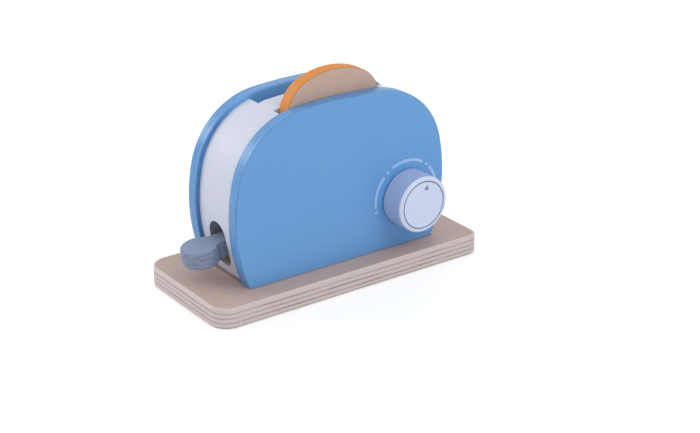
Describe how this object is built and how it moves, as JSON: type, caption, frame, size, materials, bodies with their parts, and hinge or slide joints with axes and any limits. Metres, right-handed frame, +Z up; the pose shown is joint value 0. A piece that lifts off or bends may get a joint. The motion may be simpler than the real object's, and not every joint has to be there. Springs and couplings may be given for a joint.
{
  "type": "toy toaster",
  "caption": "Wooden toy toaster on a plywood base: a see-saw lever at the end raises a slice of bread in a slot, and a round dial turns on the front.",
  "frame": {"origin": "middle of the base board's underside", "axes": "+X along the toaster, away from the lever's tab; -Y towards the dial's side; +Z up"},
  "size_m": [0.215, 0.0975, 0.1501],
  "materials": {
    "bare_plywood": "clear lacquered plywood with bare striped edges",
    "blue_paint": "satin painted board",
    "white_paint": "satin painted wood",
    "grey_blue_paint": "painted plywood, plies faintly visible",
    "zinc_steel": "zinc plated",
    "fibre": "red fibre washer board",
    "slice_wood": "bare plywood faces with an orange painted edge",
    "knob_paint": "satin painted turned wood",
    "beech": "bare beech"
  },
  "bodies": {
    "housing": {"base_board": "bare_plywood", "front_panel": "blue_paint", "back_panel": "blue_paint", "left_end_block": "white_paint", "right_end_block": "white_paint", "centre_divider": "white_paint", "pivot_pin": "zinc_steel", "friction_washers": "fibre", "knob_washer": "zinc_steel", "base_screws": "zinc_steel", "front_dowels": "beech", "back_dowels": "beech"},
    "lever": {"lever": "grey_blue_paint"},
    "toast": {"toast_slice": "slice_wood"},
    "dial": {"dial_knob": "knob_paint", "knob_screw": "zinc_steel"}
  },
  "joints": [
    {"name": "lever_pivot", "type": "hinge", "parent": "housing", "child": "lever", "pos_m": [-0.0576, 0, 0.03918], "axis": [0, -1, 0], "range_deg": [-21, 14]},
    {"name": "toast_rise", "type": "slide", "parent": "housing", "child": "toast", "axis": [0, 0, 1], "range_m": [-0.0259, 0.0173]},
    {"name": "dial_turn", "type": "hinge", "parent": "housing", "child": "dial", "pos_m": [0.0554, -0.04, 0.0501], "axis": [0, -1, 0], "continuous": true}
  ],
  "couplings": [
    {"joint": "toast_rise", "follows": "lever_pivot", "m_per_rad": 0.07054}
  ]
}
